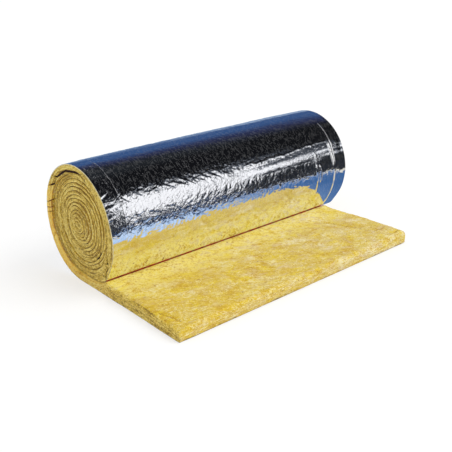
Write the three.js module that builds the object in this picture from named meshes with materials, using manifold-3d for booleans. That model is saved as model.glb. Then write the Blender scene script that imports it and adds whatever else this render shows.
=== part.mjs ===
// Foil-faced glass-wool insulation blanket: a roll on its side with its free end laid out flat.
// Millimetres, +Z up. The roll's axis runs along X and the free end points towards -Y.
// The origin is on the floor, under the middle of the whole object.
import * as THREE from 'three';
import { mergeVertices } from 'three/addons/utils/BufferGeometryUtils.js';
import Module from 'manifold-3d';

const wasm = await Module();
wasm.setup();

// --- The blanket as it is sold -------------------------------------------------------------------
const blanketWidth = 1200;
const blanketLength = 10000;
const blanketThickness = 50; // where it lies free
const facingThickness = 0.5;
const bondGap = 0.3; // keeps the facing and the wool apart as two solids

// --- The roll ------------------------------------------------------------------------------------
const rollRadius = 220;
const freeEndReach = 565; // from the roll's axis to the cut edge
const outerTurnThickness = 35; // the last turn, half recovered
const secondTurnThickness = 18;
const eyeRadius = 8; // where the first turn starts
const telescope = 20; // how far the wound core stands out of the last turn, along the axis
const slackGap = 5; // the last turn stands this far off the core, on top
const slackFrom = 110; // degrees round the roll
const slackTo = 205;

// --- Edges and end grooves -----------------------------------------------------------------------
const edgeRound = 14; // soft upper corner of the cut edge
const mergeArc = 40; // degrees before the nip where the last turn runs into the core
const grooveWidth = 2;
const grooveDepth = 10;
const arcStep = 7.5; // degrees between points round the outer turns
const slotPoints = 14; // points of the facing's line that lie in the slot at the nip
const grooveStep = 26; // millimetres between points along the inner turns

const halfSlot = facingThickness / 2 + bondGap; // from the facing's middle to the wool on either side
const radians = THREE.MathUtils.degToRad;

// Positions round the roll are degrees from the floor: 90 is the back, 180 the top, 270 the front.
function onRoll(radius, degrees) {
  const a = radians(degrees);
  return new THREE.Vector2(radius * Math.sin(a), rollRadius - radius * Math.cos(a));
}

// Where the rolled blanket meets the flat one.
const facingRadius = rollRadius - facingThickness / 2;
const nipAngle = 360 - THREE.MathUtils.radToDeg(Math.acos((rollRadius - blanketThickness) / rollRadius));
const coreRadius = facingRadius - outerTurnThickness;
const coreStart = 370; // the facing has tucked under the core by here
const spiralStart = 720; // the inner turns keep one thickness from here on
const spiralRadius = coreRadius - secondTurnThickness;

// The inner turns take what length of blanket is left, and that sets how thick each one is.
const outerLength = freeEndReach + radians(360) * rollRadius + radians(360) * coreRadius;
const spiralArea = Math.PI * (spiralRadius ** 2 - eyeRadius ** 2);
const innerTurnThickness = spiralArea / (blanketLength - outerLength);
const spiralEnd = spiralStart + (360 * (spiralRadius - eyeRadius)) / innerTurnThickness;

// Distance from the roll's axis to the facing inside the roll.
function woundRadius(degrees) {
  if (degrees > spiralStart) return spiralRadius - (innerTurnThickness * (degrees - spiralStart)) / 360;
  const halfTurnBefore = spiralStart - 180;
  return coreRadius - secondTurnThickness * THREE.MathUtils.smoothstep(degrees, halfTurnBefore, spiralStart);
}

// The middle of the facing, in the roll's section, from the cut edge to the nip.
function outerFacingLine(lastAngle) {
  const line = [new THREE.Vector2(-freeEndReach, facingThickness / 2)];
  const steps = Math.round(lastAngle / arcStep);
  for (let i = 0; i <= steps; i++) line.push(onRoll(facingRadius, (lastAngle * i) / steps));
  return line;
}

// The same line from the nip inwards: it tucks under the core and goes once round it.
function innerFacingLine(firstAngle, lastAngle) {
  const start = onRoll(facingRadius, firstAngle);
  const end = onRoll(coreRadius, coreStart);
  const inward = onRoll(1, firstAngle + 90).sub(onRoll(0, 0)).normalize();
  const alongCore = onRoll(1, coreStart + 90).sub(onRoll(0, 0)).normalize();
  const tuck = new THREE.CubicBezierCurve(
    start,
    start.clone().addScaledVector(inward, 26),
    end.clone().addScaledVector(alongCore, -90),
    end
  );
  const line = tuck.getPoints(10);
  const steps = Math.round((lastAngle - coreStart) / arcStep);
  for (let i = 1; i <= steps; i++) {
    const angle = coreStart + ((lastAngle - coreStart) * i) / steps;
    line.push(onRoll(woundRadius(angle), angle));
  }
  return line;
}

// The facing's whole line: under the free end, round the roll, and in under the core at the nip.
function facingLine(pointsShort) {
  const tuck = innerFacingLine(nipAngle, coreStart);
  return [...outerFacingLine(nipAngle), ...tuck.slice(1, tuck.length - pointsShort)];
}

// The line moved sideways: to its left for a positive distance, which may change along the line.
function offset(line, distance) {
  return line.map((point, i) => {
    const before = line[Math.max(i - 1, 0)];
    const after = line[Math.min(i + 1, line.length - 1)];
    const along = after.clone().sub(before).normalize();
    const d = typeof distance === 'function' ? distance(point) : distance;
    return new THREE.Vector2(point.x - along.y * d, point.y + along.x * d);
  });
}

function strip(line, halfWidth) {
  return [...offset(line, -halfWidth), ...offset(line, halfWidth).reverse()];
}

// A section outline carried along the roll's axis, as a solid.
function extrude(outline, from, to) {
  const shape = new THREE.Shape(outline);
  const geometry = new THREE.ExtrudeGeometry(shape, { depth: to - from, bevelEnabled: false });
  geometry.translate(0, 0, from);
  geometry.deleteAttribute('normal');
  geometry.deleteAttribute('uv');
  const merged = mergeVertices(geometry, 1e-4);
  return new wasm.Manifold(
    new wasm.Mesh({
      numProp: 3,
      vertProperties: merged.attributes.position.array,
      triVerts: new Uint32Array(merged.index.array),
    })
  );
}

function meshOf(name, solid, material) {
  const { vertProperties, triVerts } = solid.getMesh();
  const geometry = new THREE.BufferGeometry();
  geometry.setAttribute('position', new THREE.BufferAttribute(vertProperties, 3));
  geometry.setIndex(new THREE.BufferAttribute(triVerts, 1));
  geometry.computeVertexNormals();
  const mesh = new THREE.Mesh(geometry, material);
  mesh.name = name;
  return mesh;
}

// --- Wool ----------------------------------------------------------------------------------------
const wrapFrom = -(blanketWidth + telescope) / 2;
const wrapTo = wrapFrom + blanketWidth;
const coreFrom = wrapFrom + telescope;
const coreTo = wrapTo + telescope;

// The whole section: the free end, and the roll up to the nip.
function sectionOutline() {
  const outside = offset(outerFacingLine(nipAngle), halfSlot);
  const corner = new THREE.Vector2(-freeEndReach + edgeRound, blanketThickness - edgeRound);
  const upperEdge = [];
  for (let i = 0; i <= 4; i++) {
    const a = radians(90 + 22.5 * i);
    upperEdge.push(new THREE.Vector2(corner.x + edgeRound * Math.cos(a), corner.y + edgeRound * Math.sin(a)));
  }
  return [...outside, ...upperEdge];
}

// Everything inside the last turn, which runs into it at the front of the roll.
function coreOutline() {
  const around = innerFacingLine(nipAngle, nipAngle + 360 - mergeArc);
  const joins = onRoll(facingRadius - halfSlot, nipAngle - 1);
  return [joins, ...around.slice(1)];
}

// The gap left on top, where the last turn stands off the core.
function slackOutline() {
  const inner = [];
  const outer = [];
  for (let angle = slackFrom; angle <= slackTo; angle += arcStep) {
    const share = (angle - slackFrom) / (slackTo - slackFrom);
    const gap = slackGap * Math.sin(Math.PI * share);
    inner.push(onRoll(woundRadius(angle + 360) - 1, angle));
    outer.push(onRoll(woundRadius(angle + 360) + gap, angle));
  }
  return [...inner, ...outer.reverse()];
}

// The gap between the inner turns, seen on both ends of the core.
function grooveOutline() {
  const line = [];
  let angle = nipAngle + 360 - mergeArc;
  while (angle < spiralEnd) {
    const radius = woundRadius(angle);
    line.push(onRoll(radius, angle));
    angle += Math.min(30, THREE.MathUtils.radToDeg(grooveStep / radius));
  }
  return strip(line, grooveWidth / 2);
}

function buildWool() {
  const core = coreOutline();
  const groove = grooveOutline();
  return extrude(sectionOutline(), wrapFrom, wrapTo)
    .subtract(extrude(core, wrapFrom - 1, coreFrom))
    .add(extrude(core, wrapTo - 5, coreTo))
    .subtract(extrude(strip(facingLine(0).slice(-slotPoints), halfSlot), wrapFrom - 1, coreTo + 1))
    .subtract(extrude(slackOutline(), coreFrom - 1, coreFrom + grooveDepth))
    .subtract(extrude(groove, coreFrom - 1, coreFrom + grooveDepth))
    .subtract(extrude(groove, coreTo - grooveDepth, coreTo + 1));
}

// --- Facing --------------------------------------------------------------------------------------
function buildFacing() {
  return extrude(strip(facingLine(1), facingThickness / 2), wrapFrom, wrapTo);
}

const woolMaterial = new THREE.MeshStandardMaterial({
  color: 0xdcb94e,
  roughness: 1,
  metalness: 0,
  flatShading: true,
});
const foilMaterial = new THREE.MeshStandardMaterial({
  color: 0xd9dcdf,
  roughness: 0.2,
  metalness: 1,
  flatShading: true,
});

const section = new THREE.Group(); // drawn in its own X and Y, with the roll's axis along its Z
section.add(meshOf('wool_blanket', buildWool(), woolMaterial));
section.add(meshOf('foil_facing', buildFacing(), foilMaterial));
section.quaternion.setFromRotationMatrix(
  new THREE.Matrix4().makeBasis(
    new THREE.Vector3(0, 1, 0),
    new THREE.Vector3(0, 0, 1),
    new THREE.Vector3(1, 0, 0)
  )
);
section.position.y = (freeEndReach - rollRadius) / 2;

const insulationRoll = new THREE.Group();
insulationRoll.add(section);
export default insulationRoll;
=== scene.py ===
"""Foil-faced glass-wool blanket: a roll on its side with its free end laid out flat."""
import math

import bpy
import numpy as np
from mathutils import Matrix, Vector


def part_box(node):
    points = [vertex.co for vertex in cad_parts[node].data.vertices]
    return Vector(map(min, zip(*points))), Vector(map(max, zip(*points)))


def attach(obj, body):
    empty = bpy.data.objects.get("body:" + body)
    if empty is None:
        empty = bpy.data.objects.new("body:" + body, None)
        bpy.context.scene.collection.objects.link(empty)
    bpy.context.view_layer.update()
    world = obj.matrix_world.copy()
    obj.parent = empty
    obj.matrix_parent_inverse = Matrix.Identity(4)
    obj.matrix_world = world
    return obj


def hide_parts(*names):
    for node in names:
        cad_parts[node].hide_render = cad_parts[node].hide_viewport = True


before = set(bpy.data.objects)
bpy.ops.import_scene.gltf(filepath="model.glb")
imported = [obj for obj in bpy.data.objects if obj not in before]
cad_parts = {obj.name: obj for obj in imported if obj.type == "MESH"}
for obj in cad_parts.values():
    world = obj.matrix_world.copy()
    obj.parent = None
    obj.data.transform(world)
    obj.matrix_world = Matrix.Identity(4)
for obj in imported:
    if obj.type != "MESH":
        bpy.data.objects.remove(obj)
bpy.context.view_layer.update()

# --- The blanket, in metres, in the frame of the CAD ---
WIDTH = 1.2
X_LEFT, CUT_Y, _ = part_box("foil_facing")[0]  # left and front edges of the free end
REACH = 0.565  # from the front edge to the roll's axis
AXIS_Y = CUT_Y + REACH
AXIS_Z = 0.2234
FOIL = 0.0005  # thickness of the facing
GLUE = 0.0002  # from the facing to the wool
INNER_SHEET = FOIL + GLUE  # the wool starts this far in from the foil's outside
FREE_THICKNESS = 0.0500
PITCH = 0.0136  # thickness of one inner turn
EYE = 0.0075  # radius at which the winding starts
EYE_HOLE = 0.0028  # radius of the hole in the innermost turn
MEAN_RADIUS = 0.215  # of the last turn, for distances round it
FOLD_IN = 0.064  # the fold in the facing stands this far in from its left edge
RECESS = 0.013  # the core's outer turns stand this far back from the left edge
DOME = 0.015  # and its middle this far out again
FLARE = 0.017  # the last turn's right edge stands this far out from the free end's
EDGE = 0.014  # radius of the soft upper edge of the front cut
CORNER = 0.0075  # and of the free end's side cuts
END_TEAR_DEPTH = 0.0085
TOP_TEAR_DEPTH = 0.0035

# Angles are degrees round the roll, from the floor (90 back, 180 top, 270 front) and on inwards.
NIP_ANGLE = 319.0  # where the roll meets the free end's upper face
CORE_FROM = 400  # from here inwards the turns count as the core

# Radius of the outside of each turn: degrees and metres.
RADIUS_KEYS = [
    (0, 0.2234), (20, 0.224), (40, 0.2243), (70, 0.2212), (90, 0.2198), (135, 0.2203), (180, 0.2198),
    (225, 0.2142), (256, 0.211), (280, 0.2122), (300, 0.2155), (311, 0.2198), (319, 0.2258),
    (323, 0.2242), (328, 0.2196), (335, 0.2105), (345, 0.1998), (360, 0.1925),
    (405, 0.1895), (450, 0.1868), (490, 0.1825), (540, 0.1768), (585, 0.1718), (630, 0.1692), (675, 0.1705),
    (720, 0.1685),
]

# Tears in the left end: degrees and radius of their corners, and their width.
TEARS = [
    (((117, 0.211), (126, 0.1895), (131, 0.1917), (134.5, 0.199)), 0.0078),
    (((134, 0.204), (138, 0.1934), (148, 0.1925), (158, 0.1946), (168, 0.1908), (179, 0.1925),
      (191, 0.1975)), 0.0118),
    (((191, 0.1975), (194, 0.188), (199, 0.181), (212, 0.1765)), 0.0036),
    (((97, 0.211), (105, 0.176)), 0.0038),
    (((90.5, 0.219), (94.5, 0.17)), 0.0022),
    (((86, 0.212), (89, 0.174)), 0.002),
    (((60, 0.21), (63, 0.19)), 0.002),
    (((79, 0.07), (84, 0.082)), 0.0092),
    (((294, 0.181), (300, 0.191), (303, 0.186)), 0.0082),
    (((301, 0.14), (312, 0.1415), (323, 0.1405)), 0.0082),
    (((20, 0.158), (27, 0.1575)), 0.008),
    (((318, 0.219), (311, 0.203), (303, 0.201)), 0.0068),
    (((316, 0.223), (318, 0.21), (322, 0.198)), 0.0062),
]
# Cracks in the top of the free end: x from its left edge and y from the axis, and their width.
TOP_TEARS = [
    (((1.095, -0.478), (1.13, -0.484), (1.182, -0.476)), 0.009),
    (((1.14, -0.546), (1.197, -0.53)), 0.008),
    (((0.985, -0.24), (1.02, -0.3), (1.056, -0.37), (1.078, -0.43)), 0.008),
    (((0.02, -0.43), (0.045, -0.52)), 0.007),
]


# --- Noise ---
# It is used as height * noise(place / size, ..., seed): how high its bumps are and how wide.
def hash_grid(i, j, k, seed):
    """Random numbers from -1 to 1 for the corners of a grid."""
    n = (i * 374761393 + j * 668265263 + k * 1274126177 + seed * 974634777) & 0xFFFFFFFF
    n = ((n ^ (n >> 13)) * 1103515245) & 0xFFFFFFFF
    n = (n ^ (n >> 16)) & 0xFFFFFFFF
    return n / 0x7FFFFFFF - 1.0


def noise(u, v, w=0.0, seed=0):
    """Smooth random field from -1 to 1, with features about one unit across."""
    u, v, w = np.broadcast_arrays(*(np.asarray(c, float) for c in (u, v, w)))
    cells = [np.floor(c).astype(np.int64) for c in (u, v, w)]
    parts = [c - i for c, i in zip((u, v, w), cells)]
    fade = [f * f * f * (f * (f * 6 - 15) + 10) for f in parts]
    total = np.zeros(u.shape)
    for corner in range(8):
        bits = [(corner >> b) & 1 for b in range(3)]
        weight = 1.0
        for bit, f in zip(bits, fade):
            weight *= f if bit else 1 - f
        total += weight * hash_grid(*[c + bit for c, bit in zip(cells, bits)], seed)
    return total


def layered(u, v, w=0.0, seed=0, octaves=3, gain=0.5, seed_step=17, shape=lambda field: field):
    """Noise of several sizes, each half as wide as the one before."""
    total, size, reach = 0.0, 1.0, 0.0
    for o in range(octaves):
        total += size * shape(noise(u * 2**o, v * 2**o, w * 2**o, seed + seed_step * o))
        reach += size
        size *= gain
    return total / reach


def creases(u, v, seed, octaves=3):
    """Sharp ridges, from 0 to 1, as in a crumpled sheet."""
    return layered(u, v, 0.0, seed, octaves, 0.55, 31, lambda field: (1 - np.abs(field)) ** 2)


def smooth(a, b, x):
    """0 up to a, 1 from b on."""
    t = np.clip((np.asarray(x, float) - a) / (b - a), 0, 1)
    return t * t * (3 - 2 * t)


def fall(a, b, x):
    """1 up to a, 0 from b on."""
    return 1 - smooth(a, b, x)


def window(low, high, soft, x):
    """1 from low to high, falling to 0 over the soft width outside them."""
    return smooth(low - soft, low, x) * fall(high, high + soft, x)


def bell(*away):
    """1 in the middle, falling to 0 around it; the distances are in widths."""
    return np.exp(-sum(q**2 for q in away))


def near_line(corners, width, u, v, seed):
    """1 on a broken line through the corners, 0 from half its width away; both its ends taper."""
    u = u + 0.001 * noise(u / 0.007, v / 0.007, 0.3, seed)
    v = v + 0.001 * noise(u / 0.007, v / 0.007, 0.7, seed + 1)
    corners = np.asarray(corners, float)
    lengths = np.linalg.norm(np.diff(corners, axis=0), axis=1)
    best, along, run = np.full(np.shape(u), 1e9), np.zeros(np.shape(u)), 0.0
    for a, b, length in zip(corners[:-1], corners[1:], lengths):
        du, dv, (across, up) = u - a[0], v - a[1], b - a
        t = np.clip((du * across + dv * up) / length**2, 0, 1)
        away = np.hypot(du - t * across, dv - t * up)
        closer = away < best
        best = np.where(closer, away, best)
        along = np.where(closer, run + t * length, along)
        run += length
    share = along / run
    taper = 0.35 + 0.65 * smooth(0, 0.2, share) * fall(0.8, 1, share)
    return fall(0.35, 1.0, best / (0.5 * width * taper + 0.0008))


def near_any(lines, u, v, seed):
    """1 on any of the lines, each given as its corners and its width."""
    return np.max([near_line(*line, u, v, seed + 2 * k) for k, line in enumerate(lines)], axis=0)


# --- The roll's section ---
def spline(keys):
    """Piecewise cubic through the keys with no overshoot."""
    x, y = np.array(keys, float).T
    h, d = np.diff(x), np.diff(y) / np.diff(x)
    slope = np.zeros_like(y)
    slope[0], slope[-1] = d[0], d[-1]
    for i in range(1, len(x) - 1):
        if d[i - 1] * d[i] > 0:
            w1, w2 = 2 * h[i] + h[i - 1], h[i] + 2 * h[i - 1]
            slope[i] = (w1 + w2) / (w1 / d[i - 1] + w2 / d[i])

    def at(q):
        i = np.clip(np.searchsorted(x, q) - 1, 0, len(x) - 2)
        t = (q - x[i]) / h[i]
        start = y[i] * (1 + 2 * t) * (1 - t) ** 2 + h[i] * slope[i] * t * (1 - t) ** 2
        return start + y[i + 1] * t * t * (3 - 2 * t) + h[i] * slope[i + 1] * t * t * (t - 1)

    return at


outer_radius = spline(RADIUS_KEYS)
INNER_FROM, INNER_RADIUS = RADIUS_KEYS[-1]
LAST_ANGLE = INNER_FROM + 360 * (INNER_RADIUS - EYE) / PITCH


def radius(angle):
    """Radius of the foil side of the blanket."""
    wound = INNER_RADIUS - PITCH * (angle - INNER_FROM) / 360
    fade = smooth(INNER_FROM, INNER_FROM + 200, angle) * smooth(EYE, 0.03, wound)
    wobble = 0.0021 * noise(angle / 75, angle / 900, 0, 5) + 0.0009 * noise(angle / 19, angle / 700, 0, 6)
    return np.where(angle < INNER_FROM, outer_radius(np.minimum(angle, INNER_FROM)), wound + wobble * fade)


def layer_gap(angle):
    """Gap between a turn and the next one in, for the angle of the outer one."""
    seam = 0.0016 * window(190, 330, 25, angle) + 0.0012 * window(15, 80, 20, angle)
    loose = 0.0009 * smooth(-0.05, 0.75, noise(angle / 11, angle / 700, 0, 8)) * smooth(330, 420, angle)
    front = 0.0008 * window(205, 290, 30, angle % 360) * window(420, 1500, 60, angle)
    return 0.0006 + seam + loose + front


def thickness(angle):
    """Thickness of the wool at that angle, foil and gap taken off."""
    room = radius(angle) - radius(angle + 360) - layer_gap(angle) - FOIL - GLUE
    innermost = np.minimum(np.maximum(room, PITCH * 0.8), radius(angle) - EYE_HOLE)
    return np.where(angle + 360 > LAST_ANGLE, innermost, room)


def edge_shift(angle):
    """How far the left edge of the blanket stands in from the free end's."""
    lean = RECESS * smooth(200, 420, angle) - DOME * smooth(560, LAST_ANGLE, angle)
    turns = 0.0022 * noise(angle / 150, 3.3, 0, 21) + 0.0015 * noise(angle / 37, 1.7, 0, 22)
    return lean + turns * smooth(300, 500, angle)


def flare(angle):
    """How far the right edge of the last turn stands out from the free end's."""
    return FLARE * smooth(15, 70, angle) * fall(288, 335, angle)


def pinch(x, angle):
    """How far the last turn's edges draw in at both ends."""
    left, right = x - edge_shift(angle), WIDTH + edge_shift(angle) - x
    upper = smooth(150, 240, angle)
    front = upper * fall(300, 345, angle)
    back = (1 - upper) * smooth(20, 80, angle)
    shoulder = upper * fall(248, 275, angle)
    tipped = 0.005 * shoulder * np.clip(1 - left / FOLD_IN, 0, 1) ** 1.15
    drawn = (0.0008 * front + 0.0015 * back) * np.exp(-np.maximum(left, 0) / 0.06)
    drawn += (0.0016 * front + 0.0014 * back) * np.exp(-np.maximum(right, 0) / 0.04)
    return (tipped + drawn) * (angle < 365)


def on_roll(angle, r):
    """y and z of a point of the roll."""
    a = np.radians(angle)
    return AXIS_Y + r * np.sin(a), AXIS_Z - r * np.cos(a)


LONGEST_STEP = 14.0  # degrees between two rows


def stations(*stretches):
    """Angles of the rows along the turns; a stretch is its first and last angle and its step in metres."""
    out = []
    for a, last, step in stretches:
        while a < last - 1e-6:
            out.append(a)
            a += min(math.degrees(step / float(radius(a))), LONGEST_STEP)
    return np.array(out)


# --- Mesh helpers ---
def vectors(*parts):
    return np.stack(np.broadcast_arrays(*parts), -1)


def add_object(name, data):
    obj = bpy.data.objects.new(name, data)
    bpy.context.scene.collection.objects.link(obj)
    return obj


class Skin:
    """Vertices and faces that are added strip by strip."""

    def __init__(self):
        self.points, self.coords, self.marks, self.faces, self.kinds = [], [], [], [], []
        self.count = 0

    def add(self, points, distance, depth, marks):
        """New vertices; the distance along the blanket, the depth and three marks go to the material."""
        self.points.append(points)
        self.coords.append(vectors(points[:, 0], distance, depth))
        self.marks.append(marks)
        first = self.count
        self.count += len(points)
        return list(range(first, self.count))

    def join(self, a, b, kind):
        """Faces between two rows of vertices; each quad is a[i], a[i + 1], b[i + 1], b[i]."""
        if len(a) == len(b):
            self.faces += [(a[i], a[i + 1], b[i + 1], b[i]) for i in range(len(a) - 1)]
            self.kinds += [kind] * (len(a) - 1)
            return
        many, few, flip = (a, b, False) if len(a) > len(b) else (b, a, True)
        bounds = np.round(np.linspace(0, len(many) - 1, len(few))).astype(int)
        for i in range(len(few) - 1):
            ring = list(many[bounds[i]:bounds[i + 1] + 1]) + [few[i + 1], few[i]]
            self.cap(ring[::-1] if flip else ring, kind)

    def cap(self, ring, kind):
        self.faces.append(tuple(ring))
        self.kinds.append(kind)

    def make(self, name, materials, hides):
        """The finished piece, in the place of the CAD node that it hides."""
        points, coords, marks = (np.concatenate(part) for part in (self.points, self.coords, self.marks))
        mesh = bpy.data.meshes.new(name)
        mesh.from_pydata([tuple(v) for v in points], [], self.faces)
        mesh.update()
        for material in materials:
            mesh.materials.append(material)
        mesh.polygons.foreach_set("material_index", np.array(self.kinds, dtype=np.int32))
        mesh.polygons.foreach_set("use_smooth", np.ones(len(self.faces), dtype=bool))
        for key, values in (("blanket", coords), ("marks", marks)):
            layer = mesh.attributes.new(key, "FLOAT_VECTOR", "POINT")
            layer.data.foreach_set("vector", values.astype(np.float32).ravel())
        obj = add_object(name, mesh)
        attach(obj, "root")
        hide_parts(hides)
        return obj


# --- Wool ---
TOP, CUT, FRONT = 0, 1, 2  # face kinds: rolled face, side cut, front cut
BELOW_ROLL = 0.0009  # the free end's face stays this far below the roll

nip_angles = np.linspace(NIP_ANGLE, 360, 60)
nip_y, nip_z = on_roll(nip_angles, radius(nip_angles))
nip_y = nip_y - AXIS_Y
NIP_Y = float(nip_y[0])


def free_height(x, y):
    """Height of the free end's upper face; x from its left edge, y from the roll's axis."""
    x, y = np.broadcast_arrays(x, y)
    z = FREE_THICKNESS + 0.002 * layered(x / 0.19, y / 0.12, 0, 41)
    z = z + 0.0015 * layered(x / 0.05, y / 0.035, 0, 42) + 0.0008 * noise(x / 0.014, y / 0.011, 0, 43)
    # lower along its sides and at the left front corner, higher at the right one
    z = z - 0.0075 * np.exp(-x / 0.02) - 0.003 * np.exp(-(WIDTH - x) / 0.02)
    z -= 0.008 * bell(x / 0.1, (y + REACH) / 0.09)
    z += 0.003 * smooth(0.9, 1.15, x) * fall(-0.5, -0.4, y)
    z -= TOP_TEAR_DEPTH * near_any(TOP_TEARS, x, y, 201)
    touch = np.interp(y, nip_y, nip_z) - BELOW_ROLL
    z = np.where(y > NIP_Y, touch, z + (nip_z[0] - BELOW_ROLL - z) * smooth(NIP_Y - 0.03, NIP_Y, y))
    return z - 0.0012 * bell((y - NIP_Y) / 0.003)


def on_end(corners):
    """Corners given by angle and radius, as y from the axis and z from the floor."""
    a, r = np.array(corners).T
    return vectors(r * np.sin(np.radians(a)), AXIS_Z - r * np.cos(np.radians(a)))


END_TEARS = [(on_end(corners), width) for corners, width in TEARS]


def free_edges(y):
    """Left and right edges of the free end, for y from the roll's axis."""
    left = 0.0012 + 0.0016 * layered(y / 0.07, 2.2, 0, 51)
    right = WIDTH - 0.002 + 0.0045 * layered(y / 0.11, 7.7, 0, 52) + 0.0015 * noise(y / 0.016, 1.1, 0, 53)
    right -= 0.028 * smooth(-0.4, -0.14, y) * fall(-0.09, 0.0, y)
    near_roll = smooth(-0.12, -0.02, y)
    return left * (1 - near_roll), right + (WIDTH - right) * near_roll


def side_profile(height, corner, inner):
    """Across a cut side, from the upper corner to the lower one: depth below the upper face and inset."""
    height = height[:, None]
    r = np.minimum(np.reshape(corner, (-1, 1)), 0.42 * height)
    small = np.minimum(0.001, 0.2 * height)
    phi = np.radians([0, 38, 80])
    upper = r * (1 - np.cos(phi))
    body = upper[:, -1:] + (height - small - upper[:, -1:]) * (np.arange(1, inner + 1) / (inner + 0.6))
    lower = np.concatenate([height - 0.35 * small, height], 1)
    inset = np.concatenate([r * (1 - np.sin(phi)), 0 * body, 0.3 * small, small], 1)
    return np.concatenate([upper, body, lower], 1), inset


def strip_of(points, depth=0.0, seam=0.0, tone=0.0, pale=0.0):
    """Points, depth below the upper face, and marks: painted shade of seams, tears and the nip, tone, and
    painted light (paleness).
    """
    depth, *marks = (np.broadcast_to(value, points.shape[:2]) for value in (depth, seam, tone, pale))
    return points, np.array(depth), np.stack(marks, 2)


def close_ring(top, right, under, left):
    """The four strips of each row share their corner points."""
    for strip, end in ((top, 0), (under, -1)):
        for part in range(3):
            strip[part][:, 0] = left[part][:, end]
            strip[part][:, -1] = right[part][:, end]
    return top, right, under, left


def flat_rows(y, drop, columns, lower):
    """Strips of the free end: its top, right, under and left faces, row by row."""
    y = y[:, None]
    left, right = free_edges(y)

    def place(x, z):
        uneven = 0.0022 * layered(x / 0.13, 0.5, 0, 61) + 0.001 * noise(x / 0.018, 0.5, 0, 62)
        yy = y + AXIS_Y + uneven * np.exp(-(y + REACH) / 0.03)
        return vectors(x + X_LEFT, yy, z)

    x_top = left + CORNER + (right - left - 2 * CORNER) * columns
    top = place(x_top, free_height(x_top, y) - drop)
    under = place(left + (right - left) * lower, INNER_SHEET)
    # painted shade: a dark line where the free end goes in under the roll
    edge = NIP_Y - 0.005 + 0.0012 * noise(x_top / 0.03, 1.5, 0, 67)
    nip_shade = 1.5 + 0.75 * noise(x_top / 0.015, 0.5, 0, 64) + 0.3 * noise(x_top / 0.05, 2.5, 0, 65)
    # painted shade: the cracks in the top are darkened as well as cut in
    seam = 0.9 * near_any(TOP_TEARS, x_top, y, 201)
    seam = np.maximum(seam, smooth(edge, edge + 0.003, y) * nip_shade)
    shade = smooth(0.05, 1.1, x_top) + 0.25 * layered(x_top / 0.2, y / 0.2, 0, 66)
    sides = []
    for at, sign in ((left, 1), (right, -1)):
        h = (free_height(at, y) - drop)[:, 0]
        depth, inset = side_profile(h - INNER_SHEET, CORNER, 8)
        rough = 0.0013 * noise(y / 0.012, depth / 0.004, 0.5 * sign, 71)
        rough += 0.0016 * layered(y / 0.05, depth / 0.012, 0.5 * sign, 72)
        rough = np.maximum(rough, -0.001)
        rough[:, -2:] *= 0.3
        points = place(at + sign * (inset + rough), h[:, None] - depth)
        # painted highlight: the side cuts are paler near the roll
        sides.append(strip_of(points, depth, 0.0, 0.6 * smooth(-0.26, -0.02, y)))
    # the last mark is painted light: the upper face is paler near the roll
    top = strip_of(top, 0.0, seam, shade, smooth(-0.36, -0.16, y))
    return close_ring(top, sides[1], strip_of(under, FREE_THICKNESS), sides[0])


def turn_rows(a, columns, lower, inner_left, inner_right):
    """Strips of the rolled blanket, as those of the free end; depth is counted from the inner face."""
    a = a[:, None]
    r_out, h, shift, width = radius(a) - INNER_SHEET, thickness(a), edge_shift(a), WIDTH + flare(a)
    corner = 0.0013 + 0.0021 * fall(380, 410, a) + 0.0026 * fall(40, 80, a)

    def place(x, depth):
        yy, zz = on_roll(a, r_out - h + depth - pinch(x, a) * np.clip(depth / h, 0, 1))
        return vectors(x + X_LEFT, yy, zz)

    top = place(shift + corner + (width - 2 * corner) * columns, 0.0)
    under = place(shift + width * lower, h)
    sides = []
    for at, sign, inner in ((shift, 1, inner_left), (shift + width, -1, inner_right)):
        depth, inset = side_profile(h[:, 0], corner, inner)
        rough = 0.0012 * noise(a / 2.6, depth / 0.003, a / 700 + sign, 73)
        rough += 0.0012 * layered(a / 11, depth / 0.009, a / 900 + sign, 74)
        crown = 0.0012 * np.sin(np.pi * np.clip(depth / h, 0, 1)) * (a > CORE_FROM)
        inset = inset + rough * np.where(a < CORE_FROM, 0.75, 1.0) - crown
        points = place(at + sign * inset, depth)
        # painted shade: dark seams in the gaps at the inner face, broken in the core, and at the facing where
        # it goes to the nip
        broken = 0.22 + 0.78 * smooth(-0.35, 0.4, noise(a / 9, a / 720 + depth, sign, 75))
        seam = bell(depth / 0.0013) * smooth(5, 25, a) * np.where(a < 330, 1.0, broken)
        nip_edge_shade = 0.8 * smooth(276, 292, a) + 0.2 * smooth(322, 335, a)
        seam = np.maximum(seam, bell((h - depth) / 0.0014) * nip_edge_shade)
        y, z = points[..., 1] - AXIS_Y, points[..., 2]
        # the tears are cut into the left end, and their seam mark paints shade in them
        tear = near_any(END_TEARS, y, z, 221) if sign > 0 else 0.0 * depth
        points[..., 0] += END_TEAR_DEPTH * tear
        tone = (0.6 + 0.4 * smooth(0, 25, a)) * fall(98, 132, a) * (a < 200)
        # painted highlight: paler along the last turn's outer edge on top, and paler flecks on the core's
        # upper front and towards its middle
        painted_highlight = bell((h - depth) / 0.0034) * window(135, 274, 16, a) * (a < 340)
        painted_highlight += (0.2 * window(220, 300, 25, a % 360) + 0.12 * smooth(2200, 3200, a)) * (a > CORE_FROM)
        sides.append(strip_of(points, depth, np.maximum(seam, 2.0 * tear), tone, painted_highlight))
    return close_ring(strip_of(top), sides[1], strip_of(under, h), sides[0])


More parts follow.
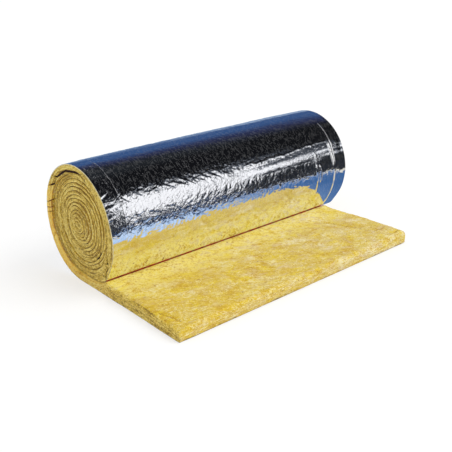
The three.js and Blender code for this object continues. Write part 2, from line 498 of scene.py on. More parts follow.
def add_rows(skin, strips, s, last):
    """Join the rows to the ring before them; gives the first and the last ring."""
    first = None
    for i, s_row in enumerate(s):
        def put(strip, part):
            points, depth, marks = (field[i][part] for field in strip)
            return skin.add(points, s_row, depth, marks)

        top, right, under, left = strips
        top_ids = put(top, slice(None))
        right_ids = [top_ids[-1]] + put(right, slice(1, None))
        left_ids = put(left, slice(None, 0, -1)) + [top_ids[0]]
        under_ids = [right_ids[-1]] + put(under, slice(-2, 0, -1)) + [left_ids[0]]
        ring = (top_ids, right_ids, under_ids, left_ids)
        if last:
            for old, new, face in zip(last, ring, (TOP, CUT, TOP, CUT)):
                skin.join(old, new, face)
        first = first or ring
        last = ring
    return first, last


def add_front(skin, ring):
    """The cut front edge, from the upper face down to the facing."""
    top_ids, right_ids, under_ids, left_ids = ring
    middle = np.concatenate(skin.points)[top_ids][1:-1]
    x, level, levels = middle[:, 0], top_ids, len(left_ids) - 1
    for k in range(1, levels):
        share = k / levels
        z = middle[:, 2] * (1 - share) + INNER_SHEET * share
        rough = 0.0014 * noise(x / 0.009, z / 0.004, 0, 81) + 0.0013 * layered(x / 0.03, z / 0.012, 0, 82)
        y = middle[:, 1] - 0.003 * math.sin(math.pi * (share * 0.85 + 0.1)) + 0.0012 + rough
        row = vectors(x, np.maximum(y, CUT_Y - 0.006), z)
        marks = vectors(0.0, smooth(0.05, 1.1, x - X_LEFT), 0.0)
        ids = [left_ids[levels - k]] + skin.add(row, 0.0, middle[:, 2] - z, marks) + [right_ids[k]]
        skin.join(ids, level, FRONT)
        level = ids
    skin.join(under_ids[::-1], level, FRONT)


def build_wool(materials):
    """The whole blanket, from the front cut to the eye."""
    skin = Skin()
    fine = np.linspace(0, 1, 267)
    wide = np.array([0, 0.01, 0.025, 0.05, 0.1, 0.9, 0.95, 0.975, 0.99, 1])
    medium = np.array([0, 0.008, 0.03, 0.97, 0.992, 1])
    narrow = np.array([0, 0.03, 0.97, 1])
    phi = np.radians([80, 64, 49, 36, 24, 12])  # round the soft upper edge of the front cut
    near_nip = NIP_Y - 0.026
    open_y = np.r_[EDGE - REACH:near_nip:0.0045, near_nip:NIP_Y + 0.012:0.0021]
    hidden_y = np.linspace(open_y[-1] + 0.006, -0.004, 18)
    outer_a = stations((0, 78, 0.0042), (78, 262, 0.0018), (262, 330, 0.003), (330, CORE_FROM, 0.0045))
    core_a = stations((CORE_FROM, LAST_ANGLE, 0.0056))
    groups = [
        flat_rows(EDGE * (1 - np.sin(phi)) - REACH, EDGE * (1 - np.cos(phi))[:, None], fine, wide),
        flat_rows(open_y, 0.0, fine, wide),
        flat_rows(hidden_y, 0.0, medium, wide),
        turn_rows(outer_a, medium, wide, 14, 5),
        turn_rows(core_a, narrow, narrow, 4, 4),
    ]
    # distance along the blanket, by the longer of its two faces
    steps = []
    for strip in (0, 2):
        middles = np.concatenate([g[strip][0][:, g[strip][0].shape[1] // 2, 1:] for g in groups])
        steps.append(np.linalg.norm(np.diff(middles, axis=0), axis=1))
    s = np.r_[0, np.cumsum(np.maximum(*steps))]
    front, ring, row = None, None, 0
    for group in groups:
        count = len(group[0][0])
        first, ring = add_rows(skin, group, s[row:row + count], ring)
        front = front or first
        row += count
    # the inner end of the blanket, at the eye
    skin.cap([*ring[0], *ring[1][1:], *ring[2][1:], *ring[3][1:-1]], CUT)
    add_front(skin, front)
    return skin.make("wool_blanket_rolled", materials, "wool_blanket")


# --- Foil ---
# On the foil, "up" is degrees above the front of the roll: 90 on top, -49 where it meets the wool.
# Folds that run round the roll: x, half-width, height, from and to (up), whitening.
FOLD_ROUND = [
    (FOLD_IN, 0.0011, 0.00045, 0, 92, 0.42),
    (1.136, 0.0052, 0.0024, 13, 34, 1.0),
    (1.15, 0.0016, 0.0008, 39, 61, 0.62),
    (1.15, 0.0022, 0.0011, 15, 36, 0.8),
    (1.142, 0.0032, 0.0026, -46, 2, 0.9),
    (1.036, 0.0036, 0.0018, -17, 25, 0.0),
    (1.056, 0.0046, 0.0019, -4, 11, 0.0),
]
# Short ones that fan out to the left edge: up at the edge and at the fold, reach, height, half-width.
FANS = [
    (43.5, 50.5, 0.036, 0.0034, 0.0034),
    (37.5, 37.0, 0.06, 0.0012, 0.0028),
    (30.5, 33.0, 0.056, 0.0026, 0.0095),
    (20.0, 27.5, 0.06, 0.0022, 0.004),
    (4.0, 3.0, 0.05, 0.0014, 0.004),
]


def looseness(x, up):
    """1 where the facing is crumpled most, less on the right half, least along its highlight."""
    right = 0.52 - 0.27 * smooth(31, 37, up) + 0.35 * window(22, 31, 3, up) + 0.3 * smooth(1.04, 1.09, x)
    right -= 0.22 * fall(7, 13, up)
    return 1 - smooth(0.5, 0.7, x) * np.minimum(right, 0.97)


def turned(x, along, degrees):
    """Coordinates on the foil, turned by that angle."""
    c, d = math.cos(math.radians(degrees)), math.sin(math.radians(degrees))
    return x * c + along * d, along * c - x * d


def crumples(x, along, up):
    """Height of the facing's creases, the long and the short: sharp ridges that slant both ways."""
    back = window(112, 236, 28, up)
    zone = np.maximum(window(-8, 34, 14, up), 2.0 * back)
    bend = 0.006 * noise(x / 0.03, along / 0.03, 0, 120)
    u1, v1 = turned(x, along, 36)
    u2, v2 = turned(x, along, -36)
    u3, v3 = turned(x, along, -66)
    u1, v2, u3 = u1 + bend, v2 + bend, u3 + bend
    long_ones = creases(u1 / 0.052, v1 / 0.02, 103) + creases(u2 / 0.06, v2 / 0.024, 104)
    patchy = 0.65 + 0.5 * noise(x / 0.1, along / 0.08, 0, 121)
    # shorter ones, mostly above and below the highlight
    falling = smooth(-0.3, 0.3, noise(x / 0.11, along / 0.05, 0, 123))
    folds = falling * creases(u1 / 0.028, v1 / 0.01, 105, 2)
    folds += (1 - falling) * creases(u2 / 0.028, v2 / 0.01, 124, 2)
    steep = creases(u3 / 0.03, v3 / 0.009, 106, 2)
    share = np.maximum(smooth(0.42, 0.58, x) * window(8, 26, 4, up), 0.7 * window(-7, 9, 3, up))
    folds += (steep - folds) * share
    highest = 47 - 8 * smooth(0.5, 0.75, x)
    edges = 1.5 * window(34, highest, 4, up) * (1 - 0.5 * window(0.75, 1.12, 0.04, x))
    edges = edges + 0.5 * window(21, 34, 4, up) + 1.15 * window(-4, 21, 4, up) + 1.3 * window(-4, 7, 4, up)
    loose = looseness(x, up) * (0.35 + 0.65 * smooth(FOLD_IN - 0.01, FOLD_IN + 0.006, x))
    deep = 0.00064 * long_ones * (0.2 + 0.8 * zone) * patchy
    return deep * loose, 0.001 * folds * (0.12 + edges + 1.8 * back) * loose


def foil_relief(x, angle):
    """Height of the wrinkles and how white their creases are; x from the left edge."""
    up = 270 - angle
    along = np.radians(angle) * MEAN_RADIUS
    deep, folds = crumples(x, along, up)
    relief = 0.0014 * layered(x / 0.33, along / 0.12, 0, 101)
    relief = relief + 0.0006 * layered(x / 0.12, along / 0.06, 0, 102) + deep + folds
    worn = np.zeros(relief.shape)
    for k, (centre, width, height, low, high, white) in enumerate(FOLD_ROUND):
        row = k + 0.5
        line = centre + 0.0035 * noise(along / 0.06, row, 0, 110) + 0.001 * noise(along / 0.011, row, 0, 111)
        beads = 1 + 0.45 * noise(along / 0.007, row, 0, 112)
        across = window(low, high, 5, up) * bell((x - line) / width)
        relief += height * beads * across
        worn = np.maximum(worn, white * across * np.clip(1.3 * beads - 0.3, 0, 1))
    # a long ridge along the roll
    ridge = 36.5 - 0.8 * window(0.8, 0.88, 0.03, x) + 2.6 * smooth(0.88, 0.99, x)
    ridge = ridge + 0.9 * noise(x / 0.09, 37.0, 0, 130) + 0.6 * noise(x / 0.022, 37.0, 0, 131)
    across = np.radians(up - ridge) * MEAN_RADIUS
    relief += 0.0011 * window(0.7, 1.12, 0.05, x) * bell(across / 0.005)
    for k, (at_edge, at_fold, reach, height, width) in enumerate(FANS):
        across = np.radians(up - at_edge - (at_fold - at_edge) * x / FOLD_IN) * MEAN_RADIUS
        across += 0.0008 * noise(x / 0.012, k, 0, 132)
        share = np.clip(x / reach, 0, 1)
        relief += height * fall(0.1, 1.0, share) * bell(across / (width * (1 - 0.5 * share)))
    # dents and flecks in the strip outside the left fold
    dents = noise((x + 0.5 * along) / 0.0045, (along - 0.5 * x) / 0.01, 0, 140)
    dents = np.maximum(dents - 0.5, 0) * window(0.008, 0.046, 0.006, x) * window(48, 82, 6, up)
    return relief + 0.001 * dents, np.maximum(worn, np.minimum(0.9 * dents, 0.3))


def foil_columns():
    """x of the outer face's columns, closer together at the folds."""
    ends = (0, 0.056, 0.078, 1.014, 1.066, 1.116, 1.16, WIDTH)
    steps = zip(ends, ends[1:], (0.0045, 0.0014, 0.0044, 0.0025, 0.0045, 0.0016, 0.005))
    inner = np.concatenate([np.linspace(a, b, round((b - a) / step), endpoint=False) for a, b, step in steps])
    return np.r_[0, 0.0004, inner[1:], WIDTH - 0.0004, WIDTH]


def facing_row(columns, angle, depth, rise):
    """Points of the facing on the roll, at a depth below its outside."""
    inset = 0.0008 + 0.011 * smooth(318, 335, angle)  # its edges stand this far in from the wool's
    x = edge_shift(angle) + inset + columns * (1 - 2 * inset / WIDTH)
    x += flare(angle) * smooth(1.152, WIDTH, columns)
    y, z = on_roll(angle, radius(angle) - pinch(x, angle) - depth + rise)
    return vectors(x + X_LEFT, y, z)


def build_foil(material):
    """The facing as a thin closed shell, from the front cut to the eye."""
    skin = Skin()
    fine = foil_columns()
    wide = np.array([0, 0.003, 0.03, 0.06, 0.12, 1.08, 1.14, 1.17, 1.197, WIDTH])
    narrow = np.array([0, WIDTH])
    flat_y = np.linspace(0.0015 - REACH, 0, 60)[:-1]
    turn_a = stations((0, 60, 0.012), (60, 218, 0.0049), (218, 280, 0.0025), (280, 321, 0.0036))
    core_a = stations((321.5, LAST_ANGLE, 0.0056))
    grid_a, grid_x = np.meshgrid(turn_a, fine, indexing="ij")
    relief, worn = foil_relief(grid_x, grid_a)
    ends = 0.7 + 0.3 * np.minimum(smooth(0, 0.03, grid_x), smooth(0, 0.03, WIDTH - grid_x))
    relief = np.maximum(relief, 0) * ends * smooth(20, 75, grid_a) * fall(309, 319, grid_a)
    stretches = (("flat", flat_y), ("turn", turn_a), ("core", core_a))
    first = last = None
    for kind, index, where in ((kind, *row) for kind, values in stretches for row in enumerate(values)):
        if kind == "flat":
            left, right = (float(v) for v in free_edges(where))
            x = left + 0.001 + (right - left - 0.002) * wide / WIDTH
            outer = vectors(x + X_LEFT, where + AXIS_Y, 0.0)
            inner = outer + [0, 0, FOIL]
            s = where + REACH
        else:
            columns, inside = (fine, wide) if kind == "turn" else (narrow, narrow)
            rise = relief[index] if kind == "turn" else np.zeros(len(columns))
            inner_rise = np.zeros(len(inside))
            inner_rise[[0, -1]] = rise[[0, -1]]  # the inner face is smooth, and follows at the cut edges
            outer = facing_row(columns, where, 0.0, rise)
            inner = facing_row(inside, where, FOIL, inner_rise)
            s = REACH + math.radians(where) * MEAN_RADIUS
        ids = []
        for points in (inner, outer[::-1]):
            marks = np.zeros(points.shape)  # how loose the foil is, and how worn its creases are
            if kind == "turn":
                up, at = 270 - where, points[:, 0] - X_LEFT
                marks[:, 0] = smooth(-6, 6, up) * (1 + 0.5 * window(8, 44, 6, up)) * looseness(at, up)
                marks[:, 0] *= 0.75 + 0.25 * smooth(FOLD_IN - 0.01, FOLD_IN + 0.01, at)
                marks[:, 1] = worn[index][::-1] if len(points) == len(fine) else 0
            ids.append(skin.add(points, s, 0.0, marks))
        if last:
            for old, new in zip(last, ids):
                skin.join(old, new, 0)
            skin.join([last[0][-1], last[1][0]], [ids[0][-1], ids[1][0]], 0)
            skin.join([last[1][-1], last[0][0]], [ids[1][-1], ids[0][0]], 0)
        first = first or ids
        last = ids
    skin.cap([*first[0][::-1], *first[1][::-1]], 0)
    skin.cap([*last[0], *last[1]], 0)
    return skin.make("foil_facing_wrapped", [material], "foil_facing")


# --- Materials ---
class Value:
    """What a node gives; each sum or product with it is a new Math node."""

    def __init__(self, tree, socket):
        self.tree, self.socket = tree, socket

    def __add__(self, other):
        return self.tree.math("ADD", self, other)

    def __sub__(self, other):
        return self.tree.math("SUBTRACT", self, other)

    def __rsub__(self, other):
        return self.tree.math("SUBTRACT", other, self)

    def __mul__(self, other):
        return self.tree.math("MULTIPLY", self, other)


class Tree:
    """A material's or a world's nodes, made one call at a time."""

    def __init__(self, name, owners=bpy.data.materials):
        self.owner = owners.new(name)
        self.owner.use_nodes = True
        self.nodes, self.links = self.owner.node_tree.nodes, self.owner.node_tree.links
        self.nodes.clear()

    def add(self, kind, inputs=None, out=0, **settings):
        """A new shader node; its inputs are numbers, colours or what other nodes give."""
        node = self.nodes.new("ShaderNode" + kind)
        for key, value in settings.items():
            setattr(node, key, value)
        for key, value in (inputs or {}).items():
            if isinstance(value, Value):
                self.links.new(value.socket, node.inputs[key])
            else:
                node.inputs[key].default_value = value
        return Value(self, node.outputs[out]) if node.outputs else None

    def surface(self, shader, kind="Material"):
        """The last node; gives the finished material or world."""
        self.add("Output" + kind, {"Surface": shader})
        return self.owner

    def math(self, operation, a, b=0.0):
        return self.add("Math", {0: a, 1: b}, operation=operation)

    def larger(self, a, b):
        return self.math("MAXIMUM", a, b)

    def ramp(self, value, low, high, to_low=0.0, to_high=1.0):
        """to_low where the value is low, to_high where it is high, smooth between them."""
        inputs = {0: value, 1: low, 2: high, 3: to_low, 4: to_high}
        return self.add("MapRange", inputs, interpolation_type="SMOOTHSTEP")

    def mix(self, amount, a, b):
        """Colour a, going over to b as the amount goes from 0 to 1."""
        return self.add("Mix", {0: amount, 6: a, 7: b}, out=2, data_type="RGBA")

    def tint(self, colour, value, low, high, most, other):
        """The colour, and up to most of another over it as the value goes from low to high."""
        return self.mix(self.ramp(value, low, high, 0, most), colour, other)

    def split(self, vector):
        return [self.add("SeparateXYZ", {0: vector}, out=k) for k in range(3)]

    def attribute(self, name):
        return self.add("Attribute", attribute_name=name, out=1)

    def noise(self, scale, turn=0.0, shift=0.0, detail=3.0, rough=0.6, warp=0.0):
        """Noise around 0 over the blanket, with scale features a metre along each axis."""
        inputs = {"Vector": self.attribute("blanket"), "Rotation": (0, 0, math.radians(turn))}
        turned = self.add("Mapping", {**inputs, "Location": (shift, shift, 0)})
        placed = self.add("Mapping", {"Vector": turned, "Scale": scale})
        inputs = {"Vector": placed, "Scale": 1.0, "Detail": detail, "Roughness": rough, "Distortion": warp}
        return self.add("TexNoise", inputs) - 0.5


def rgb(r, g, b):
    """A colour given as it looks on screen, 0 to 255, as linear light."""
    def linear(c):
        c /= 255
        return c / 12.92 if c <= 0.04045 else ((c + 0.055) / 1.055) ** 2.4
    return linear(r), linear(g), linear(b), 1.0


WOOL_BUMP = 0.003  # height of the wool's finest relief
WOOL_FINISH = {"Roughness": 0.95, "Sheen Weight": 0.1, "Sheen Roughness": 0.5, "Specular IOR Level": 0.15}


def wool_surface(t, colour, height):
    bump = t.add("Bump", {"Strength": 1.0, "Distance": WOOL_BUMP, "Height": height})
    return t.surface(t.add("BsdfPrincipled", {"Base Color": colour, "Normal": bump, **WOOL_FINISH}))


def wool_face_material(name, laminar):
    """The rolled face, and with laminar the front cut, whose layers show."""
    t = Tree(name)
    seam, tone, painted_light_near_roll = t.split(t.attribute("marks"))
    clouds = t.noise((9, 13, 30), detail=4, warp=0.8)
    patches = t.noise((16, 30, 60), 28, 3.0, warp=1.0)
    wisps = t.noise((34, 74, 110), 32, 5.0, warp=1.8)
    speck = t.noise((105, 190, 230), 24, 7.0, detail=2, warp=0.3)
    fine = t.noise((210, 330, 420), 30, 9.0, detail=1)
    pits = t.noise((46, 88, 110), 20, 11.0, detail=2, rough=0.5, warp=0.6)
    grain = 0.5 if laminar else 1.0
    light = clouds * 0.9 + wisps * 1.8 + speck * (1.3 * grain) + fine * (1.5 * grain)
    colour = t.mix(tone, rgb(226, 193, 62), rgb(226, 200, 97))
    # painted light: paler near the roll
    colour = t.mix(painted_light_near_roll * 0.85, colour, rgb(255, 240, 130))
    hue = t.noise((13, 24, 40), 24, 17.0, warp=1.0) + wisps * 0.4
    colour = t.tint(colour, hue, 0.01, 0.16, 0.8, rgb(238, 210, 50))
    mild = t.ramp(tone, 0.0, 0.6, 0.45, 1.0)
    colour = t.mix(t.ramp(hue, -0.01, -0.16, 0, 0.8) * mild, colour, rgb(226, 203, 156))
    pale = t.mix(tone, rgb(242, 226, 158), rgb(245, 232, 186))
    colour = t.tint(colour, light + clouds * 0.8, 0.0, 0.5, 0.95, pale)
    colour = t.tint(colour, light + patches * 1.5, 0.0, -0.52, 0.95, rgb(208, 164, 42))
    colour = t.tint(colour, pits, -0.17, -0.26, 0.55, rgb(168, 116, 44))
    colour = t.tint(colour, pits, -0.205, -0.25, 0.75, rgb(158, 86, 30))
    height = speck + fine * 0.5 + wisps * 1.4 + t.ramp(pits, -0.12, -0.26) * -0.25
    if laminar:
        layers = t.noise((20, 20, 330), 0, 13.0, rough=0.65, warp=0.4)
        streaks = layers + speck * 0.3
        colour = t.tint(colour, streaks, -0.04, -0.18, 0.7, rgb(190, 146, 66))
        colour = t.tint(colour, streaks, 0.01, 0.16, 0.72, rgb(250, 238, 196))
        height = height * 0.6 + layers * 0.7
    height *= t.ramp(painted_light_near_roll, 0, 1, 1.0, 0.45)
    # painted shade of the seams, cracks and nip: brown at their edges, red and then dark in the nip's line
    broken = seam * (wisps * 3.0 + 1.0)
    colour = t.tint(colour, broken, 0.3, 1.0, 0.75, rgb(160, 108, 44))
    colour = t.mix(t.ramp(broken, 0.8, 1.15) * t.ramp(seam, 1.01, 1.12), colour, rgb(250, 82, 46))
    colour = t.tint(colour, broken, 1.75, 2.05, 0.95, rgb(84, 12, 22))
    return wool_surface(t, colour, height)


def wool_cut_material():
    """The cut sides: layers on edge, paler and warmer by their marks, with painted highlights and painted
    shade in the seams and tears.
    """
    t = Tree("wool_cut_side")
    _, distance, depth = t.split(t.attribute("blanket"))
    seam, tone, painted_highlight = t.split(t.attribute("marks"))
    clouds = t.noise((22, 22, 40), warp=0.5)
    laminae = t.noise((40, 26, 300), 0, 3.0, rough=0.65, warp=0.5)
    speck = t.noise((190, 120, 250), 0, 5.0, detail=2, warp=0.6)
    fine = t.noise((380, 260, 420), 0, 7.0, detail=1)
    knots = t.noise((70, 60, 110), 0, 11.0, detail=2, rough=0.5, warp=0.8)
    layers = t.noise((10, 7, 105), 0, 13.0, warp=0.3)
    light = clouds * 0.5 + laminae * 1.3 + speck * 1.6 + fine * 0.9 + layers * 1.3
    light *= t.ramp(tone, 0.0, 1.0, 1.35, 0.95)
    colour = t.mix(tone, rgb(225, 191, 76), rgb(255, 216, 100))
    colour = t.tint(colour, light, 0.0, 0.42, 0.95, t.mix(tone, rgb(252, 230, 134), rgb(255, 232, 144)))
    colour = t.tint(colour, light, 0.0, -0.42, 0.95, t.mix(tone, rgb(164, 132, 56), rgb(234, 174, 60)))
    between = t.ramp(layers + speck * 0.5, -0.09, -0.22) * 0.7
    colour = t.mix(between, colour, t.mix(tone, rgb(120, 88, 38), rgb(196, 132, 44)))
    colour = t.mix(t.ramp(knots, -0.14, -0.23, 0, 0.85) * t.ramp(tone, 0, 1, 1, 0.3), colour, rgb(96, 66, 30))
    # painted highlights along the rims and on the core
    colour = t.tint(colour, painted_highlight + speck, 0.3, 0.75, 0.85, rgb(252, 240, 192))
    # a painted highlight: a pale band inside each turn of the core
    band_highlight = t.ramp(depth, 0.001, 0.0028) * t.ramp(depth, 0.0066, 0.0036)
    band_highlight *= t.ramp(distance, 2.1, 2.3) * t.ramp(light, -0.2, 0.3)
    colour = t.mix(band_highlight * 0.75, colour, rgb(250, 228, 138))
    # painted shade in the seams between turns and in the tears
    broken = seam * (speck * 4.5 + knots * 4.5 + 0.95)
    colour = t.tint(colour, broken, 0.45, 1.25, 0.65, t.mix(tone, rgb(116, 86, 38), rgb(178, 88, 32)))
    colour = t.tint(colour, seam, 1.05, 1.45, 0.98, rgb(54, 14, 14))
    height = speck + fine * 0.5 + laminae * 1.2
    return wool_surface(t, colour, height * t.ramp(tone, 0, 1, 1, 0.7))


def foil_material():
    """Bright rolled foil with fine crinkles, faint dust and whitened creases; yellowish at its cut edge."""
    t = Tree("foil_laminate")
    across = t.split(t.attribute("blanket"))[0]
    loose, worn, _ = t.split(t.attribute("marks"))
    edge = t.ramp(across, X_LEFT + 0.001, X_LEFT + 0.0005)
    grain = t.noise((150, 26, 1), detail=2)
    crinkle = t.noise((48, 105, 1), 28, 3.0, detail=2, rough=0.5, warp=1.0)
    facets = t.math("ABSOLUTE", t.noise((50, 100, 1), 32, 3.0, detail=1, rough=0.5, warp=0.8))
    pebble = t.math("ABSOLUTE", t.noise((75, 110, 1), -26, 5.0, detail=1, rough=0.5, warp=0.8))
    loosely = crinkle * 0.0003 + facets * -0.0007 + pebble * -0.00035
    height = loosely * (loose * 0.75 + 0.25) + grain * t.ramp(loose, 0, 1, 0.00003, 0.00007)
    dust = t.ramp(t.noise((130, 46, 1), 5, 8.0, detail=2), -0.04, 0.12, 0, 0.036)
    foil = t.mix(t.ramp(grain, -0.22, 0.22), rgb(239, 240, 243), rgb(249, 250, 252))
    inputs = {
        "Base Color": t.mix(edge, foil, rgb(150, 122, 62)),
        "Metallic": (t.ramp(worn, 0, 1, 1.0, 0.15) - dust) * (1.0 - edge),
        "Roughness": t.ramp(grain, -0.2, 0.2, 0.02, 0.06) + worn * 0.4 + edge * 0.8,
        "Normal": t.add("Bump", {"Strength": 1.0, "Distance": 1.0, "Height": height}),
    }
    return t.surface(t.add("BsdfPrincipled", inputs))


rolled_face = wool_face_material("wool_rolled_face", False)
cut_side = wool_cut_material()
cut_front = wool_face_material("wool_cut_front", True)
wool = build_wool([rolled_face, cut_side, cut_front])
foil = build_foil(foil_material())


# --- Stage, light and camera ---
WHITE = (1, 1, 1, 1)
FLOOR = 40.0  # half the floor's width, metres
FLOOR_Z, PAPER_Z = -0.0006, -0.0003
FLOOR_GLOW = 0.58  # makes the floor white to direct rays
DOME_RADIUS = 60.0
DEGREES = 180 / math.pi
SKY_STRENGTH = 0.72
KEY_STRENGTH, KEY_WIDTH = 1.35, math.radians(50)
KEY_FROM = (0.55, -0.62, 0.85)
PICTURE_WIDTH, FOCAL_LENGTH = 452, 741.7  # pixels
SENSOR = 36.0  # millimetres
PITCH_DOWN, YAW, TILT = 0.39868, 0.82744, 0.01668  # radians
CAMERA_AT = (-1.25126 + X_LEFT, -2.13364 + AXIS_Y, 1.2457)


def stage_mesh(name, vertices, faces, material):
    mesh = bpy.data.meshes.new(name)
    mesh.from_pydata(vertices, [], faces)
    mesh.materials.append(material)
    obj = add_object(name, mesh)
    return obj


def seen_directly(t):
    """1 for camera, mirror and glass rays, which see the pale background as white."""
    names = ("Is Camera Ray", "Is Glossy Ray", "Is Transmission Ray")
    camera, mirror, glass = (t.add("LightPath", out=name) for name in names)
    return t.larger(t.larger(camera, mirror), glass)


def square(z):
    return [(-FLOOR, -FLOOR, z), (FLOOR, -FLOOR, z), (FLOOR, FLOOR, z), (-FLOOR, FLOOR, z)], [(0, 1, 2, 3)]


def pale_floor():
    t = Tree("pale_floor")
    seen = seen_directly(t)
    grey = t.mix(seen, (0.88, 0.88, 0.88, 1), (0.44, 0.44, 0.44, 1))
    diffuse = t.add("BsdfDiffuse", {"Color": grey})
    lift = t.add("Emission", {"Color": WHITE, "Strength": seen * FLOOR_GLOW})
    material = t.surface(t.add("AddShader", {0: diffuse, 1: lift}))
    return stage_mesh("floor", *square(FLOOR_Z), material)


def mirror_only(obj):
    """A card of the studio that only the foil's mirror sees: it lights and shades nothing."""
    obj.visible_camera = obj.visible_diffuse = obj.visible_transmission = False
    obj.visible_volume_scatter = obj.visible_shadow = False


def card_material(name, colour_of):
    """Emission of its own colour, clear to light that has already left a matt surface."""
    t = Tree(name)
    glow = t.add("Emission", {"Color": colour_of(t), "Strength": 1.0})
    clear = t.add("BsdfTransparent")
    later = t.math("GREATER_THAN", t.add("LightPath", out="Diffuse Depth"), 0.5)
    return t.surface(t.add("MixShader", {0: later, 1: glow, 2: clear}))


def paper_colour(t):
    """Blue paper with a pale edge on its right, painted darker near the free end as its shadow. Beyond it
    cloth: blue in front, dark on the right and further out, pale blue at the back."""
    x, y, _ = t.split(t.add("NewGeometry", out="Position"))
    right = t.ramp(x, 0, 0.85)
    # painted shadow: near the free end the paper is darker than the open paper further out
    near = t.mix(right, rgb(170, 202, 244), rgb(66, 104, 156))
    open_paper = t.mix(right, rgb(204, 227, 255), rgb(102, 138, 190))
    near = t.mix(t.ramp(y, -0.48, -0.84), near, open_paper)
    slant = x + y * 0.5
    pale = t.larger(t.ramp(slant, 0.88, 0.91), t.ramp(y, -0.96, -1.06) * t.ramp(x, 0.6, 0.95))
    near = t.mix(pale, near, rgb(232, 228, 214))
    limit = t.ramp(y, t.ramp(x, 0.3, 0.9, -1.36, -1.16), t.ramp(x, 0.3, 0.9, -1.4, -1.2))
    far = t.larger(t.ramp(slant, 0.97, 0.98), limit)
    cloth = t.larger(t.ramp(y, -1.8, -2.6), t.ramp(slant, 0.35, 0.8))
    cloth = t.mix(cloth, rgb(66, 90, 132), rgb(40, 43, 50))
    return t.mix(far, near, t.mix(t.ramp(y, 0.4, 0.9), cloth, rgb(125, 150, 186)))


def dome_colour(t):
    """Blue cloth behind, dark overhead, a black room in front and to the right, and a soft light in it."""
    x, y, z = t.split(t.add("NewGeometry", out="Position"))
    elevation = t.math("ARCSINE", z * (1 / DOME_RADIUS)) * DEGREES
    azimuth = t.math("ARCTAN2", y, x) * DEGREES
    low = t.mix(t.ramp(azimuth, 58, 47), rgb(88, 114, 154), rgb(165, 185, 212))
    blue = t.mix(t.ramp(elevation, 0, 11), low, rgb(57, 86, 134))
    blue = t.mix(t.ramp(elevation, 24, 39), blue, rgb(45, 50, 82))
    blue = t.mix(t.ramp(elevation, 36, 48), blue, rgb(35, 38, 42))
    seen = t.mix(t.ramp(azimuth, 26, 2), blue, rgb(19, 20, 23))
    # the light is drawn by where the roll's mirror shows it: metres along the roll, degrees above its front
    bend = (t.math("POWER", elevation + 5.0, 2.0) - 441.0) * -0.0065
    swung = azimuth + bend + 56.5
    along = swung * 0.048 + t.math("POWER", swung, 2.0) * 0.00066 + 0.1
    level = elevation * (along * 0.18 + 0.55) + t.larger(5.0 - elevation, 0.0) * -0.4 + 15.2
    along -= t.larger(level - 33.0, 0.0) * 0.028

    def step(*ends):
        return t.ramp(along, *ends)

    middle = step(0.46, 0.58, 27.4, 28.8) + step(0.66, 0.8, 0, -0.8) + step(0.84, 0.93, 0, -1.3)
    middle = middle + step(0.93, 0.99, 0, 2.8) + step(1.05, 1.13, 0, -2.0) + step(-0.45, -0.2, 2.4, 0)
    off = level - middle
    # its core splits in two at the right end
    split = t.math("ABSOLUTE", t.math("ABSOLUTE", off) - step(1.08, 1.12, 0, 2.6))
    half = (step(0.37, 0.71, 9.8, 1.9) - step(0.85, 1.12, 0, 1.0)) * step(-0.42, -0.1, 0.16, 1.0)
    core = t.ramp(split - half, 0.9, -0.6)
    # dimmer wings above and below the core
    upper = step(0.45, 0.76, 0.34, 0.07) * step(-0.15, 0.15, 0.42, 1.0)
    lower = step(0.45, 0.8, 0.2, 0.02)
    top = step(-0.14, 0.0, 39.0, 42.5) + step(0.35, 0.5, 0, 1.2) + step(0.75, 0.9, 0, -1.2)
    wings = t.ramp(level, 10, 22) * t.ramp(level, top, top - 5.0)
    wings = wings * t.ramp(off, -2, 2, lower, upper) * step(-0.32, -0.12, 0.15, 1.0)
    light = t.larger(core, wings) * step(1.4, 1.3) * step(-1.1, -0.8)
    return t.mix(light, seen, t.mix(light, rgb(206, 220, 244), (1.0, 1.0, 1.02, 1)))


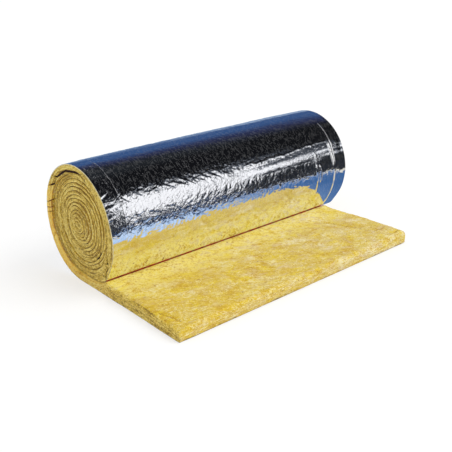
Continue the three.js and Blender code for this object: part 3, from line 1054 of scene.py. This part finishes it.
def studio_dome():
    rings, sides = 24, 64
    vertices = [(0.0, 0.0, DOME_RADIUS)]
    for k in range(1, rings + 1):
        down = math.radians(100 * k / rings)
        flat = DOME_RADIUS * math.sin(down)
        for j in range(sides):
            turn = 2 * math.pi * j / sides
            vertices.append((flat * math.cos(turn), flat * math.sin(turn), DOME_RADIUS * math.cos(down)))
    faces = [(0, 1 + j, 1 + (j + 1) % sides) for j in range(sides)]
    for k in range(rings - 1):
        a, b = 1 + k * sides, 1 + (k + 1) * sides
        faces += [(a + j, b + j, b + (j + 1) % sides, a + (j + 1) % sides) for j in range(sides)]
    return stage_mesh("studio_dome", vertices, faces, card_material("studio_cloth", dome_colour))


def studio_world():
    t = Tree("studio", bpy.data.worlds)
    soft = t.add("Background", {"Color": WHITE, "Strength": SKY_STRENGTH})
    shown = t.add("Background", {"Color": WHITE, "Strength": 1.0})
    either = t.add("MixShader", {0: seen_directly(t), 1: soft, 2: shown})
    bpy.context.scene.world = t.surface(either, "World")


def key_light():
    sun = add_object("key", bpy.data.lights.new("key", "SUN"))
    sun.data.energy, sun.data.angle = KEY_STRENGTH, KEY_WIDTH
    sun.rotation_euler = Vector(KEY_FROM).to_track_quat("Z", "Y").to_euler()
    sun.visible_glossy = False


def set_camera():
    data = bpy.data.cameras.new("camera")
    data.sensor_width = SENSOR
    data.lens = FOCAL_LENGTH * SENSOR / PICTURE_WIDTH
    flat = math.cos(PITCH_DOWN)
    ahead = Vector((math.cos(YAW) * flat, math.sin(YAW) * flat, -math.sin(PITCH_DOWN)))
    right = ahead.cross(Vector((0, 0, 1))).normalized()
    up = right.cross(ahead)
    c, s = math.cos(TILT), math.sin(TILT)
    right, up = c * right + s * up, -s * right + c * up
    camera = add_object("camera", data)
    turn = Matrix((right, up, -ahead)).transposed().to_4x4()
    camera.matrix_world = Matrix.Translation(Vector(CAMERA_AT)) @ turn
    bpy.context.scene.camera = camera


pale_floor()
mirror_only(stage_mesh("studio_paper", *square(PAPER_Z), card_material("blue_paper", paper_colour)))
mirror_only(studio_dome())
studio_world()
key_light()
set_camera()
bpy.context.scene.view_settings.view_transform = "Standard"
